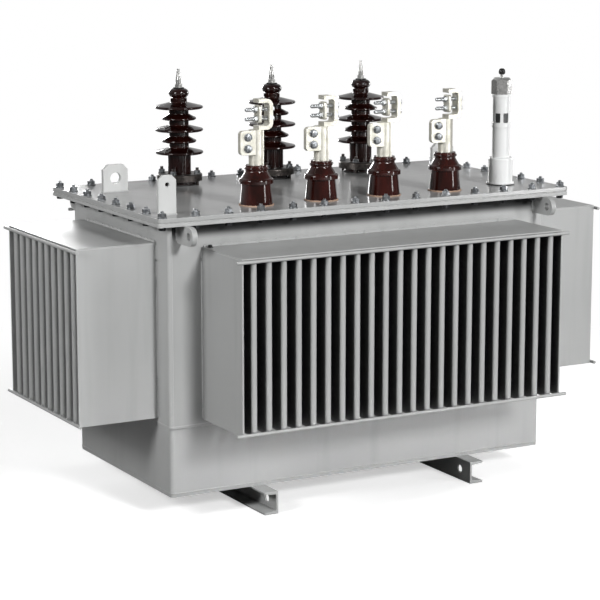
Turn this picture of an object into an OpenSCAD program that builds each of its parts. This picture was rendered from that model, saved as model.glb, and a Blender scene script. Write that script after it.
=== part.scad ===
// Oil-immersed distribution transformer: a finned, hermetically closed oil tank on two skid channels,
// with three high-voltage bushings, four low-voltage bushings and an oil level gauge on its lid.
// Millimetres, +Z up, origin on the ground under the middle of the tank. -Y is the low-voltage side.

/* [Skids] */
// Height of a skid channel
skid_h = 70; // [60:1:120]
// Flange width of a skid channel, over the web
skid_flange_w = 46; // [36:1:70]
// Web thickness of a skid channel
skid_web_t = 6; // [4:0.5:10]
// Flange thickness of a skid channel at its tip
skid_flange_t = 6; // [4:0.5:9]
// How much thicker a flange is at the web
skid_taper = 4; // [0:0.5:8]
// Distance between the backs of the two skid webs
skid_gauge = 690; // [500:5:900]
// How far a skid stands out beyond the pan, at the front and at the back
skid_overhang = 84; // [70:1:150]
// Diameter of a towing hole in a skid web
tow_hole_d = 26; // [16:1:34]
// Distance of a towing hole from the skid's end
tow_hole_inset = 62; // [30:1:65]

/* [Tank] */
// Length of the lower pan
pan_l = 1320; // [1200:5:1600]
// Width of the lower pan
pan_w = 676; // [560:2:800]
// Height of the lower pan, with its floor
pan_h = 210; // [120:5:320]
// Plate thickness of the pan's wall
pan_t = 8; // [5:0.5:10]
// Plate thickness of the pan's floor
floor_t = 12; // [8:1:20]
// Corner radius of the pan
pan_r = 12; // [11:1:60]
// How far the finned body stands out beyond the pan, at each end
body_step_l = 4; // [2:1:60]
// How far the finned body stands out beyond the pan, at the front and at the back
body_step_w = 4; // [2:1:60]
// Thickness of the body's wall sheets
wall_t = 6; // [4:0.5:10]
// Corner radius of the body
body_r = 12; // [11:1:60]
// Thickness of the ledge that closes the step between the pan and the body
ledge_t = 8; // [5:0.5:12]
// Height of the plain collar between the fin covers and the rim
collar_h = 74; // [50:1:140]

/* [Cooling fins] */
// Number of fins on the front, and on the back
long_fin_n = 22; // [8:1:22]
// Number of fins on each end
end_fin_n = 10; // [5:1:10]
// Distance from one fin to the next
fin_pitch = 49; // [36:1:49]
// Thickness of a fin
fin_t = 20; // [12:1:26]
// Thickness of the flat sheet that closes each end of a bank
end_sheet_t = 5; // [3:0.5:10]
// Gap between an end sheet and the fin beside it
end_sheet_gap = 26; // [12:1:29]
// Depth of a fin from the wall to its nose
fin_depth = 256; // [120:2:300]
// Height of a fin on the front, and on the back
fin_h = 516; // [300:2:800]
// How much higher the fins of the ends reach
end_fin_rise = 10; // [0:1:30]
// Plain wall left between the ledge and the fins
fin_lift = 12; // [6:1:60]
// Thickness of the cover sheet on a bank of fins
cover_t = 4; // [2:0.5:8]
// Diameter of the tie rods across the fin noses
rod_d = 10; // [6:1:16]
// How far a tie rod runs past the end fins
rod_past = 20; // [5:1:40]

/* [Rim and lid] */
// How far the rim and the lid stand out beyond the body
rim_overhang = 55; // [44:1:70]
// Thickness of the rim flange
rim_t = 10; // [6:1:20]
// Thickness of the gasket
gasket_t = 4; // [2:0.5:8]
// How far the gasket lies back from the lid's edge
gasket_inset = 3; // [1:0.5:8]
// Thickness of the lid
lid_t = 12; // [8:1:20]
// Corner radius of the lid and the rim
lid_r = 12; // [4:1:40]

/* [Lifting lugs] */
// Width of a lug on the lid
lid_lug_w = 83; // [60:1:120]
// Height of a lug on the lid
lid_lug_h = 86; // [70:1:140]
// Plate thickness of a lug on the lid
lid_lug_t = 14; // [8:1:20]
// Corner cut of a lug on the lid
lid_lug_cut = 16; // [6:1:24]
// Hole diameter of a lug on the lid
lid_lug_hole_d = 36; // [20:1:44]
// Distance of the left lid lug from the middle of the lid, along its length
lid_lug_left_x = 588; // [520:2:620]
// Distance of the right lid lug from the middle of the lid, along its length
lid_lug_right_x = 622; // [560:2:640]
// Distance of a lid lug behind the middle of the lid
lid_lug_y = 200; // [170:2:230]
// Distance of a tank lug from the end of the body
tank_lug_inset = 36; // [30:1:60]
// Reach of a tank lug from the wall to its eye
tank_lug_reach = 78; // [55:1:110]
// Radius of a tank lug round its eye
tank_lug_r = 28; // [20:1:32]
// Eye diameter of a tank lug
tank_lug_hole_d = 24; // [14:1:30]
// Plate thickness of a tank lug
tank_lug_t = 16; // [8:1:18]

/* [Corner bracket] */
// Width of the upright bracket at the lid's corner
bracket_w = 57; // [40:1:80]
// Height of the bracket
bracket_h = 116; // [80:1:160]
// Plate thickness of the bracket
bracket_t = 10; // [6:1:16]
// Corner cut of the bracket
bracket_cut = 14; // [6:1:30]
// Distance of the bracket from the lid's end
bracket_inset_l = 34; // [26:1:60]
// Distance of the bracket from the lid's front edge
bracket_inset_w = 77; // [48:1:90]
// Hole diameter near the top of the bracket
bracket_hole_d = 14; // [8:1:20]

/* [High-voltage bushings] */
// Distance from one high-voltage bushing to the next
hv_spacing = 336; // [260:2:400]
// Distance of the high-voltage row behind the middle of the lid
hv_y = 257; // [200:1:290]
// Diameter of the base shoulder
hv_base_d = 106; // [96:1:116]
// Height of the base shoulder
hv_base_h = 26; // [16:1:34]
// Diameter of the stem between the shoulder and the sheds
hv_stem_d = 74; // [60:1:80]
// Diameter of the core between the sheds
hv_core_d = 62; // [50:1:70]
// Diameter of a large shed
hv_shed_d = 154; // [120:1:170]
// Diameter of a small shed
hv_small_shed_d = 110; // [90:1:130]
// Height of the lowest shed's rim above the lid
hv_first_shed = 104; // [90:1:130]
// Height from one shed to the next
hv_shed_pitch = 36; // [32:0.5:44]
// Number of sheds, large and small in turn
hv_shed_n = 5; // [3:2:7]
// Thickness of a shed at its rim
hv_rim_t = 9; // [6:0.5:12]
// Rise of a shed from its rim to the core
hv_shed_rise = 15; // [8:1:18]
// Diameter of the neck above the sheds
hv_neck_d = 52; // [40:1:58]
// Height of the neck above the top shed's rim
hv_neck_h = 30; // [22:1:50]
// Diameter of the head
hv_head_d = 64; // [54:1:80]
// Height of the head
hv_head_h = 29; // [20:1:32]
// Edge rounding of the shoulder and the clamp ring
hv_edge_r = 5; // [2:0.5:8]
// Outer diameter of the clamp ring
hv_clamp_d = 146; // [140:1:170]
// Thickness of the clamp ring
hv_clamp_t = 10; // [6:1:14]
// Height of the lip that the clamp ring turns down at its edge
hv_lip_h = 12; // [6:1:16]
// Thickness of that lip
hv_lip_t = 6; // [4:0.5:8]
// Clearance between the clamp ring and the stem
hv_clamp_gap = 2; // [1:0.5:4]
// Diameter of a clamp stud
hv_stud_d = 10; // [8:1:12]
// Length of a clamp stud above the clamp ring
hv_stud_top = 20; // [14:1:40]
// Width across flats of the terminal nut
hv_nut_af = 22; // [20:1:30]
// Height of the terminal nut
hv_nut_h = 14; // [8:1:18]
// Diameter of the terminal stud
hv_pin_d = 18; // [12:1:20]
// Length of the terminal stud above its nut
hv_pin_h = 14; // [10:1:40]
// Length of the terminal stud's point
hv_point_h = 34; // [16:1:44]
// Diameter of the terminal stud's blunt tip
hv_tip_d = 9; // [5:1:11]

/* [Low-voltage bushings] */
// Distance from one low-voltage bushing to the next
lv_spacing = 223; // [190:1:240]
// Distance of the low-voltage row before the middle of the lid
lv_y = 268; // [230:1:290]
// Diameter of the porcelain at the lid
lv_base_d = 100; // [84:1:120]
// Diameter of the porcelain under its collar
lv_waist_d = 86; // [70:1:96]
// Height of the waist above the lid
lv_waist_h = 66; // [50:1:90]
// Diameter of the collar
lv_collar_d = 104; // [98:1:120]
// Height of the collar
lv_collar_h = 16; // [14:1:30]
// Edge rounding of the collar
lv_collar_r = 7; // [3:0.5:9]
// Diameter of the neck
lv_neck_d = 66; // [54:1:76]
// Height of the neck above the collar
lv_neck_h = 39; // [34:1:50]
// Height of the sloping shoulder below the neck
lv_shoulder_h = 20; // [10:1:24]
// Radius of the rib round the neck
lv_rib_r = 4; // [2:0.5:6]

/* [Low-voltage connectors] */
// Diameter of the socket barrel
conn_barrel_d = 46; // [36:1:48]
// Height of the barrel below the palm
conn_foot_h = 32; // [20:1:50]
// Reach of the palm from the bushing's axis
conn_palm_reach = 63; // [58:1:80]
// Height of the palm
conn_palm_h = 73; // [60:1:100]
// Thickness of the palm
conn_palm_t = 16; // [10:1:24]
// How far the palm's face lies behind the front of the barrel
conn_palm_back = 3; // [2:0.5:5]
// Corner radius of the palm
conn_palm_r = 12; // [4:1:16]
// Diameter of the two palm holes
conn_hole_d = 13; // [9:1:17]
// Distance between the two palm holes
conn_hole_pitch = 34; // [26:1:40]
// Distance of the palm holes from the palm's outer edge
conn_hole_inset = 25; // [18:1:25]
// Width of the clamp strap on top, from its mouth to its back
conn_strap_w = 48; // [44:1:80]
// Height of the strap
conn_strap_h = 92; // [70:1:120]
// Thickness of the strap
conn_strap_t = 12; // [8:1:18]
// Depth of the strap
conn_strap_d = 36; // [28:1:50]
// Outer corner radius of the strap
conn_strap_r = 20; // [19:1:30]

/* [Oil level gauge] */
// Distance of the gauge from the middle of the lid, along its length
gauge_x = 566; // [520:1:600]
// Distance of the gauge before the middle of the lid
gauge_y = 236; // [200:1:270]
// Diameter of the foot flange
gauge_foot_d = 88; // [82:1:110]
// Thickness of the foot flange
gauge_foot_t = 8; // [5:1:12]
// Diameter of the lower sleeve
gauge_sleeve_d = 78; // [64:1:80]
// Height of the lower sleeve above its flange
gauge_sleeve_h = 80; // [50:1:120]
// Diameter of the tube
gauge_tube_d = 55; // [48:1:60]
// Height of the tube above the sleeve
gauge_tube_h = 201; // [120:1:260]
// Height of the collar at the top of the tube
gauge_collar_h = 10; // [6:1:16]
// How far that collar stands out from the tube
gauge_collar_out = 2; // [1:0.5:4]
// Width of a window in the tube
gauge_window_w = 18; // [12:1:20]
// Height of a window
gauge_window_h = 30; // [16:1:40]
// Height of the windows above the sleeve
gauge_window_z = 111; // [60:1:112]
// Depth of a window
gauge_window_depth = 7; // [5:0.5:10]
// Height of the band below the windows
gauge_band_h = 16; // [8:1:30]
// Edge rounding of the sleeve's shoulder
gauge_shoulder_r = 6; // [2:0.5:8]
// Width of the hexagonal cap across its corners
gauge_cap_d = 66; // [56:1:80]
// Height of the hexagonal cap
gauge_cap_h = 42; // [30:1:60]
// Height of the cap's sloping top
gauge_cap_slope = 10; // [4:1:16]
// Diameter of the flat on top of the cap
gauge_cap_top_d = 48; // [40:1:54]
// Diameter of the cap's stem
gauge_stem_d = 9; // [6:1:14]
// Height of the cap's stem
gauge_stem_h = 10; // [4:1:20]
// Diameter of the cap's knob
gauge_knob_d = 19; // [16:1:28]

/* [Hidden] */
$fn = 64;

// Colours of the finishes
PAINT = [0.72, 0.72, 0.72];
PORCELAIN = [0.24, 0.06, 0.05];
TINNED = [0.88, 0.86, 0.80];
ZINC = [0.62, 0.63, 0.64];
RUBBER = [0.10, 0.10, 0.10];
WHITE = [0.90, 0.90, 0.89];

// A margin by which a cutting tool passes the faces that it cuts
cut = 1;

// Levels, from the ground up
pan_z = skid_h;
pan_wall_z = pan_z + floor_t;
ledge_z = pan_z + pan_h;
wall_z = ledge_z + ledge_t;
fin_z = wall_z + fin_lift;
cover_z = fin_z + fin_h;
end_fin_h = fin_h + end_fin_rise;
rim_z = cover_z + cover_t + collar_h;
gasket_z = rim_z + rim_t;
lid_z = gasket_z + gasket_t;
lid_top = lid_z + lid_t;
wall_h = rim_z - wall_z;

// Outlines in plan
skid_l = pan_w + 2 * skid_overhang;
body_l = pan_l + 2 * body_step_l;
body_w = pan_w + 2 * body_step_w;
tank_lug_x = body_l / 2 - tank_lug_inset;
tank_lug_z = rim_z - tank_lug_r;
lid_l = body_l + 2 * rim_overhang;
lid_w = body_w + 2 * rim_overhang;
row_ends = 2 * (end_sheet_gap + end_sheet_t);
long_row = (long_fin_n - 1) * fin_pitch + fin_t + row_ends;
end_row = (end_fin_n - 1) * fin_pitch + fin_t + row_ends;

// Bushings
hv_top_shed = hv_first_shed + (hv_shed_n - 1) * hv_shed_pitch;
hv_head_z = hv_top_shed + hv_neck_h;
hv_top = hv_head_z + hv_head_h;
hv_clamp_hole_d = hv_stem_d + 2 * hv_clamp_gap;
hv_stud_circle_d = (hv_base_d + hv_clamp_d) / 2 - hv_lip_t;
hv_stud_n = 4;
gauge_window_n = 6;
gauge_cap_sides = 6;
lv_collar_z = lv_waist_h;
lv_neck_z = lv_collar_z + lv_collar_h;
lv_top = lv_neck_z + lv_neck_h;
lv_n = 4;
hv_x = [for (i = [-1:1]) i * hv_spacing];
lv_x = [for (i = [0:lv_n - 1]) (i - (lv_n - 1) / 2) * lv_spacing];

// A rectangle with round corners, centred on the origin
module round_rect(l, w, r) {
    square([l - 2 * r, w], center = true);
    square([l, w - 2 * r], center = true);
    for (x = [-1, 1], y = [-1, 1])
        translate([x * (l / 2 - r), y * (w / 2 - r)])
            circle(r);
}

// The plan of the body's wall sheets, a band of wall_t round the tank
module body_band() {
    difference() {
        round_rect(body_l, body_w, body_r);
        round_rect(body_l - 2 * wall_t, body_w - 2 * wall_t, body_r - wall_t);
    }
}

// Section of a skid channel, its flanges thicker at the web than at their tips
module skid_section() {
    root_t = skid_flange_t + skid_taper;
    polygon([
        [0, 0],
        [skid_flange_w, 0],
        [skid_flange_w, skid_flange_t],
        [skid_web_t, root_t],
        [skid_web_t, skid_h - root_t],
        [skid_flange_w, skid_h - skid_flange_t],
        [skid_flange_w, skid_h],
        [0, skid_h]
    ]);
}

// A skid channel along Y, with the back of its web on X = 0 and its flanges towards +X
module skid() {
    color(PAINT)
        difference() {
            translate([0, skid_l / 2, 0])
                rotate([90, 0, 0])
                    linear_extrude(skid_l)
                        skid_section();
            for (side = [-1, 1])
                translate([-cut, side * (skid_l / 2 - tow_hole_inset), skid_h / 2])
                    rotate([0, 90, 0])
                        cylinder(d = tow_hole_d, h = skid_web_t + 2 * cut);
        }
}

module skid_right() {
    translate([skid_gauge / 2, 0, 0])
        skid();
}

module skid_left() {
    mirror([1, 0, 0])
        skid_right();
}

module pan_floor() {
    color(PAINT)
        translate([0, 0, pan_z])
            linear_extrude(floor_t)
                round_rect(pan_l, pan_w, pan_r);
}

module pan_wall() {
    color(PAINT)
        translate([0, 0, pan_wall_z])
            linear_extrude(ledge_z - pan_wall_z)
                difference() {
                    round_rect(pan_l, pan_w, pan_r);
                    round_rect(pan_l - 2 * pan_t, pan_w - 2 * pan_t, pan_r - pan_t);
                }
}

// The flat ring between the pan and the walls of the body, which stand out a little beyond it
module step_ledge() {
    color(PAINT)
        translate([0, 0, ledge_z])
            linear_extrude(ledge_t)
                difference() {
                    round_rect(body_l, body_w, body_r);
                    round_rect(pan_l - 2 * pan_t, pan_w - 2 * pan_t, pan_r - pan_t);
                }
}

// The flat sheet of the front wall, between the rolled corners of the end walls
module front_wall() {
    color(PAINT)
        translate([body_r - body_l / 2, -body_w / 2, wall_z])
            cube([body_l - 2 * body_r, wall_t, wall_h]);
}

module back_wall() {
    mirror([0, 1, 0])
        front_wall();
}

// An end sheet with its two rolled corners
module right_wall() {
    color(PAINT)
        translate([0, 0, wall_z])
            linear_extrude(wall_h)
                intersection() {
                    body_band();
                    translate([body_l / 2 - body_r, -body_w / 2])
                        square([body_r, body_w]);
                }
}

module left_wall() {
    mirror([1, 0, 0])
        right_wall();
}

// A row of n fins of height h along X that stand out towards -Y from Y = 0, each with a round nose.
// A flat sheet closes each end of the row.
module fin_row(n, row, h) {
    color(PAINT)
        translate([0, 0, fin_z])
            linear_extrude(h) {
                for (i = [0:n - 1])
                    translate([(i - (n - 1) / 2) * fin_pitch, 0]) {
                        translate([-fin_t / 2, fin_t / 2 - fin_depth])
                            square([fin_t, fin_depth - fin_t / 2]);
                        translate([0, fin_t / 2 - fin_depth])
                            circle(d = fin_t);
                    }
                for (x = [-row / 2, row / 2 - end_sheet_t])
                    translate([x, -fin_depth])
                        square([end_sheet_t, fin_depth]);
            }
}

module front_fins() {
    translate([0, -body_w / 2, 0])
        fin_row(long_fin_n, long_row, fin_h);
}

module back_fins() {
    mirror([0, 1, 0])
        front_fins();
}

module left_fins() {
    translate([-body_l / 2, 0, 0])
        rotate([0, 0, -90])
            fin_row(end_fin_n, end_row, end_fin_h);
}

module right_fins() {
    mirror([1, 0, 0])
        left_fins();
}

// The sheet that closes the top of each bank of fins
module fin_covers() {
    color(PAINT)
        for (side = [-1, 1]) {
            translate([-long_row / 2, side * (body_w + fin_depth) / 2 - fin_depth / 2, cover_z])
                cube([long_row, fin_depth, cover_t]);
            translate([side * (body_l + fin_depth) / 2 - fin_depth / 2, -end_row / 2, fin_z + end_fin_h])
                cube([fin_depth, end_row, cover_t]);
        }
}

// Two rods along X across the noses of a row of the given length and fin height, at its top and bottom
module rod_pair(row, h) {
    for (z = [fin_z + rod_d / 2, fin_z + h - rod_d / 2])
        translate([-row / 2 - rod_past, -fin_depth - rod_d / 2, z])
            rotate([0, 90, 0])
                cylinder(d = rod_d, h = row + 2 * rod_past);
}

module tie_rods() {
    color(PAINT)
        for (side = [0, 1]) {
            mirror([0, side, 0])
                translate([0, -body_w / 2, 0])
                    rod_pair(long_row, fin_h);
            mirror([side, 0, 0])
                translate([-body_l / 2, 0, 0])
                    rotate([0, 0, -90])
                        rod_pair(end_row, end_fin_h);
        }
}

module rim_flange() {
    color(PAINT)
        translate([0, 0, rim_z])
            linear_extrude(rim_t)
                difference() {
                    round_rect(lid_l, lid_w, lid_r);
                    round_rect(body_l - 2 * wall_t, body_w - 2 * wall_t, body_r - wall_t);
                }
}

module lid_gasket() {
    color(RUBBER)
        translate([0, 0, gasket_z])
            linear_extrude(gasket_t)
                difference() {
                    round_rect(lid_l - 2 * gasket_inset, lid_w - 2 * gasket_inset, lid_r - gasket_inset);
                    round_rect(body_l - 2 * wall_t, body_w - 2 * wall_t, body_r - wall_t);
                }
}

module lid() {
    color(PAINT)
        translate([0, 0, lid_z])
            linear_extrude(lid_t)
                round_rect(lid_l, lid_w, lid_r);
}

// A tank lug in side view: its eye at tank_lug_reach along X, its foot on Y = 0 at the wall
module tank_lug_outline() {
    difference() {
        union() {
            translate([tank_lug_reach, 0])
                circle(tank_lug_r);
            translate([0, -tank_lug_r])
                square([tank_lug_reach, 2 * tank_lug_r]);
        }
        translate([tank_lug_reach, 0])
            circle(d = tank_lug_hole_d);
    }
}

// The four lugs on the collar, under the rim, beyond the end fins of the front and of the back
module tank_lugs() {
    color(PAINT)
        for (end = [0, 1], side = [0, 1])
            mirror([end, 0, 0])
                mirror([0, side, 0])
                    translate([tank_lug_x + tank_lug_t / 2, -body_w / 2, tank_lug_z])
                        rotate([90, 0, -90])
                            linear_extrude(tank_lug_t)
                                tank_lug_outline();
}

// An upright plate on the lid with clipped top corners and one hole, its face on Y = 0
module upright_plate(w, h, t, corner, hole_d, hole_z) {
    color(PAINT)
        translate([0, t / 2, lid_top])
            rotate([90, 0, 0])
                linear_extrude(t)
                    difference() {
                        polygon([
                            [-w / 2, 0], [w / 2, 0], [w / 2, h - corner],
                            [w / 2 - corner, h], [corner - w / 2, h], [-w / 2, h - corner]
                        ]);
                        translate([0, hole_z])
                            circle(d = hole_d);
                    }
}

// A lifting lug on the lid, x along from its middle
module lid_lug(x) {
    translate([x, lid_lug_y, 0])
        upright_plate(lid_lug_w, lid_lug_h, lid_lug_t, lid_lug_cut, lid_lug_hole_d, lid_lug_h / 2);
}

module lid_lug_left() {
    lid_lug(-lid_lug_left_x);
}

module lid_lug_right() {
    lid_lug(lid_lug_right_x);
}

module corner_bracket() {
    translate([bracket_inset_l + bracket_w / 2 - lid_l / 2, bracket_inset_w - lid_w / 2, 0])
        upright_plate(bracket_w, bracket_h, bracket_t, bracket_cut, bracket_hole_d,
                      bracket_h - bracket_cut - bracket_hole_d);
}

// Half section of one shed of radius r with its rim's middle at height z
module shed_section(r, z) {
    rim_r = hv_rim_t / 2;
    polygon([
        [0, z - rim_r],
        [r - rim_r, z - rim_r],
        [r - rim_r, z + rim_r],
        [hv_core_d / 2, z + hv_shed_rise],
        [0, z + hv_shed_rise]
    ]);
    translate([r - rim_r, z])
        circle(rim_r);
}

// Half section of a disc of radius r and height h on height z, its top edge rounded
module disc_section(r, h, z, edge_r) {
    translate([0, z])
        square([r, h - edge_r]);
    translate([0, z])
        square([r - edge_r, h]);
    translate([r - edge_r, z + h - edge_r])
        circle(edge_r);
}

// Half section of a bead of radius r and height h on height z, its rim a half circle
module bead_section(r, h, z) {
    translate([0, z])
        square([r - h / 2, h]);
    translate([r - h / 2, z + h / 2])
        circle(d = h);
}

// A ribbed porcelain bushing on the lid, large and small sheds in turn
module hv_insulator() {
    color(PORCELAIN)
        rotate_extrude()
            intersection() {
                union() {
                    disc_section(hv_base_d / 2, hv_base_h, 0, hv_edge_r);
                    square([hv_stem_d / 2, hv_first_shed]);
                    square([hv_core_d / 2, hv_top_shed]);
                    square([hv_neck_d / 2, hv_head_z]);
                    for (i = [0:hv_shed_n - 1])
                        shed_section((i % 2 == 0 ? hv_shed_d : hv_small_shed_d) / 2,
                                     hv_first_shed + i * hv_shed_pitch);
                    bead_section(hv_head_d / 2, hv_head_h, hv_head_z);
                }
                square([hv_shed_d, hv_top]);
            }
}

// The ring that presses the shoulder down, its edge turned down as a lip, with its studs on the lid
module hv_clamp() {
    lip_z = hv_base_h - hv_lip_h;
    color(ZINC) {
        rotate_extrude()
            difference() {
                disc_section(hv_clamp_d / 2, hv_clamp_t + hv_lip_h, lip_z, hv_edge_r);
                translate([0, lip_z - cut])
                    square([hv_clamp_d / 2 - hv_lip_t, hv_lip_h + cut]);
                translate([0, lip_z])
                    square([hv_clamp_hole_d / 2, hv_lip_h + hv_clamp_t + cut]);
            }
        for (i = [0:hv_stud_n - 1])
            rotate([0, 0, (i + 0.5) * 360 / hv_stud_n])
                translate([hv_stud_circle_d / 2, 0, 0])
                    cylinder(d = hv_stud_d, h = hv_base_h + hv_clamp_t + hv_stud_top);
    }
}

// The nut and the pointed stud on a bushing's head
module hv_terminal() {
    color(ZINC)
        translate([0, 0, hv_top]) {
            cylinder(d = hv_nut_af / cos(30), h = hv_nut_h, $fn = 6);
            translate([0, 0, hv_nut_h]) {
                cylinder(d = hv_pin_d, h = hv_pin_h);
                translate([0, 0, hv_pin_h])
                    cylinder(d1 = hv_pin_d, d2 = hv_tip_d, h = hv_point_h);
            }
        }
}

module at_hv(i) {
    translate([hv_x[i - 1], hv_y, lid_top])
        children();
}

module at_lv(i) {
    translate([lv_x[i - 1], -lv_y, lid_top])
        children();
}

// A squat porcelain bushing: a tapering foot, a collar, a sloping shoulder and a neck with a rib
module lv_insulator() {
    color(PORCELAIN)
        rotate_extrude()
            intersection() {
                union() {
                    polygon([
                        [0, 0], [lv_base_d / 2, 0], [lv_waist_d / 2, lv_waist_h], [0, lv_waist_h]
                    ]);
                    disc_section(lv_collar_d / 2, lv_collar_h, lv_collar_z, lv_collar_r);
                    translate([0, lv_neck_z])
                        polygon([
                            [0, 0], [lv_collar_d / 2 - lv_collar_r, 0],
                            [lv_neck_d / 2, lv_shoulder_h], [lv_neck_d / 2, lv_neck_h], [0, lv_neck_h]
                        ]);
                    translate([lv_neck_d / 2, lv_neck_z + (lv_shoulder_h + lv_neck_h) / 2])
                        circle(lv_rib_r);
                }
                square([lv_collar_d, lv_top]);
            }
}

// Face of the palm towards -Y: outer corners round, two holes one above the other
module palm_outline() {
    difference() {
        union() {
            translate([-conn_palm_reach, conn_palm_r])
                square([conn_palm_reach, conn_palm_h - 2 * conn_palm_r]);
            translate([conn_palm_r - conn_palm_reach, 0])
                square([conn_palm_reach - conn_palm_r, conn_palm_h]);
            for (z = [conn_palm_r, conn_palm_h - conn_palm_r])
                translate([conn_palm_r - conn_palm_reach, z])
                    circle(conn_palm_r);
        }
        for (side = [-1, 1])
            translate([conn_hole_inset - conn_palm_reach, (conn_palm_h + side * conn_hole_pitch) / 2])
                circle(d = conn_hole_d);
    }
}

// Side view of the strap on top: a band bent round a mouth that opens towards -X
module strap_outline() {
    inner_r = conn_strap_r - conn_strap_t;
    difference() {
        strap_blank(conn_strap_w, conn_strap_h, conn_strap_r);
        translate([-cut, conn_strap_t])
            strap_blank(conn_strap_w - conn_strap_t + cut, conn_strap_h - 2 * conn_strap_t, inner_r);
    }
}

// A rectangle on the axis with the two corners at +X rounded
module strap_blank(w, h, r) {
    square([w - r, h]);
    translate([0, r])
        square([w, h - 2 * r]);
    for (z = [r, h - r])
        translate([w - r, z])
            circle(r);
}

// One cast connector: a socket barrel with a drilled palm beside it and a clamp strap on top
module lv_connector() {
    palm_z = lv_top + conn_foot_h;
    color(TINNED) {
        translate([0, 0, lv_top])
            cylinder(d = conn_barrel_d, h = conn_foot_h + conn_palm_h);
        translate([0, conn_palm_t + conn_palm_back - conn_barrel_d / 2, palm_z])
            rotate([90, 0, 0])
                linear_extrude(conn_palm_t)
                    palm_outline();
        translate([0, conn_strap_d / 2, palm_z + conn_palm_h])
            rotate([90, 0, 0])
                linear_extrude(conn_strap_d)
                    strap_outline();
    }
}

module at_gauge() {
    translate([gauge_x, -gauge_y, lid_top])
        children();
}

module gauge_foot() {
    color(WHITE)
        at_gauge() {
            cylinder(d = gauge_foot_d, h = gauge_foot_t);
            rotate_extrude()
                intersection() {
                    disc_section(gauge_sleeve_d / 2, gauge_foot_t + gauge_sleeve_h, 0, gauge_shoulder_r);
                    square([gauge_sleeve_d, gauge_foot_t + gauge_sleeve_h]);
                }
        }
}

// The tube with a collar at its top, and windows all round above a band
module gauge_tube() {
    ring_d = gauge_tube_d + 2 * gauge_collar_out;
    window_x = gauge_tube_d / 2 - gauge_window_depth;
    color(WHITE)
        at_gauge()
            translate([0, 0, gauge_foot_t + gauge_sleeve_h])
                difference() {
                    union() {
                        cylinder(d = gauge_tube_d, h = gauge_tube_h);
                        translate([0, 0, gauge_tube_h - gauge_collar_h])
                            cylinder(d = ring_d, h = gauge_collar_h);
                        translate([0, 0, gauge_window_z - gauge_band_h])
                            cylinder(d = ring_d, h = gauge_band_h);
                    }
                    for (i = [0:gauge_window_n - 1])
                        rotate([0, 0, (i + 0.5) * 360 / gauge_window_n])
                            translate([window_x, -gauge_window_w / 2, gauge_window_z])
                                cube([gauge_window_depth + cut, gauge_window_w, gauge_window_h]);
                }
}

// The hexagonal cap with a sloping top, and the knob on its stem
module gauge_cap() {
    stem_z = gauge_cap_h + gauge_cap_slope;
    knob_z = stem_z + gauge_stem_h + gauge_knob_d / 2;
    color(ZINC)
        at_gauge()
            translate([0, 0, gauge_foot_t + gauge_sleeve_h + gauge_tube_h]) {
                intersection() {
                    rotate([0, 0, 180 / gauge_cap_sides])
                        cylinder(d = gauge_cap_d, h = stem_z, $fn = gauge_cap_sides);
                    union() {
                        cylinder(d = gauge_cap_d, h = gauge_cap_h);
                        translate([0, 0, gauge_cap_h])
                            cylinder(d1 = gauge_cap_d, d2 = gauge_cap_top_d, h = gauge_cap_slope);
                    }
                }
                translate([0, 0, gauge_cap_h])
                    cylinder(d = gauge_stem_d, h = knob_z - gauge_cap_h);
                translate([0, 0, knob_z])
                    sphere(d = gauge_knob_d);
            }
}

skid_left();
skid_right();
pan_floor();
pan_wall();
step_ledge();
front_wall();
back_wall();
left_wall();
right_wall();
front_fins();
back_fins();
left_fins();
right_fins();
fin_covers();
tie_rods();
rim_flange();
lid_gasket();
lid();
tank_lugs();
lid_lug_left();
lid_lug_right();
corner_bracket();
at_hv(1) hv_insulator();  // hv_insulator_1
at_hv(2) hv_insulator();  // hv_insulator_2
at_hv(3) hv_insulator();  // hv_insulator_3
at_hv(1) hv_clamp();  // hv_clamp_1
at_hv(2) hv_clamp();  // hv_clamp_2
at_hv(3) hv_clamp();  // hv_clamp_3
at_hv(1) hv_terminal();  // hv_terminal_1
at_hv(2) hv_terminal();  // hv_terminal_2
at_hv(3) hv_terminal();  // hv_terminal_3
at_lv(1) lv_insulator();  // lv_insulator_1
at_lv(2) lv_insulator();  // lv_insulator_2
at_lv(3) lv_insulator();  // lv_insulator_3
at_lv(4) lv_insulator();  // lv_insulator_4
at_lv(1) lv_connector();  // lv_connector_1
at_lv(2) lv_connector();  // lv_connector_2
at_lv(3) lv_connector();  // lv_connector_3
at_lv(4) lv_connector();  // lv_connector_4
gauge_foot();
gauge_tube();
gauge_cap();
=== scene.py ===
"""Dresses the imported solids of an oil-immersed distribution transformer.

The frame's nodes keep their shape and get procedural finishes. Fasteners, welds, seals and glass
are modelled here. Lengths are in metres, +Z is up and -Y is the low-voltage side.
"""

import logging
import math
from collections.abc import Callable, Iterable, Sequence
from dataclasses import dataclass
from enum import Enum

import bpy
from bpy.types import Material, MeshPolygon, Node, NodeSocket, NodeTree, Object
from mathutils import Matrix, Vector


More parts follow.
